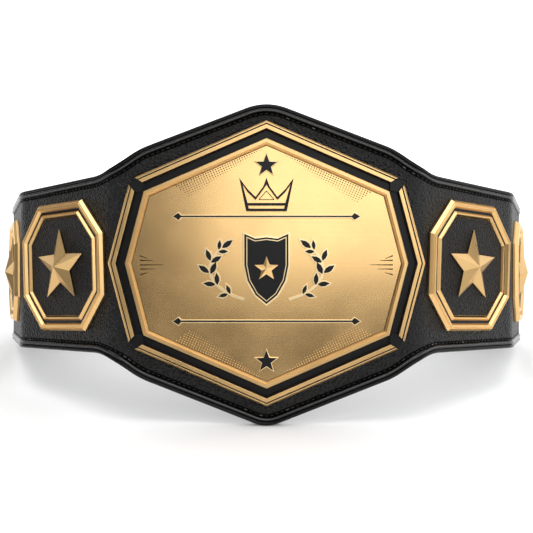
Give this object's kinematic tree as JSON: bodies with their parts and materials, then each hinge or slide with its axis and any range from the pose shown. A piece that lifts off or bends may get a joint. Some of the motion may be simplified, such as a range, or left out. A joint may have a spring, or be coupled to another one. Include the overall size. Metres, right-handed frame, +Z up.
{
  "type": "championship title belt",
  "caption": "Closed black leather title belt standing by itself, with a large pointed gold main plate, gold star side plates and snapped ends behind.",
  "frame": {"origin": "on the floor, midway between the belt's left and right sides and midway between its front and back", "axes": "+X to the right seen from the front, +Y from the main plate to the lapped ends, +Z up from the floor"},
  "size_m": [0.5, 0.2574, 0.2397],
  "materials": {
    "leather": "pebble grain, satin",
    "gold": "brushed and polished gold plating",
    "enamel": "gloss black enamel",
    "steel": "satin"
  },
  "bodies": {
    "root": {"strap": "leather", "main_base": "enamel", "face_plate": "gold", "chevron_right": "gold", "chevron_top": "gold", "chevron_left": "gold", "chevron_bottom": "gold", "star_top": "enamel", "star_bottom": "enamel", "crown": "enamel", "bar_top": "enamel", "bar_bottom": "enamel", "shield": "enamel", "laurel_left": "enamel", "laurel_right": "enamel", "side_plate_inner_left": "gold", "side_field_inner_left": "leather", "side_star_inner_left": "gold", "side_plate_inner_right": "gold", "side_field_inner_right": "leather", "side_star_inner_right": "gold", "side_plate_outer_left": "gold", "side_field_outer_left": "leather", "side_star_outer_left": "gold", "side_plate_outer_right": "gold", "side_field_outer_right": "leather", "side_star_outer_right": "gold", "plate_screw_1": "steel", "plate_screw_2": "steel", "plate_screw_3": "steel", "plate_screw_4": "steel", "plate_screw_5": "steel", "plate_screw_6": "steel", "plate_screw_7": "steel", "plate_screw_8": "steel", "plate_screw_9": "steel", "plate_screw_10": "steel", "plate_screw_11": "steel", "plate_screw_12": "steel", "snap_1": "steel", "snap_2": "steel", "snap_3": "steel", "snap_4": "steel", "snap_5": "steel", "snap_6": "steel"}
  },
  "joints": []
}
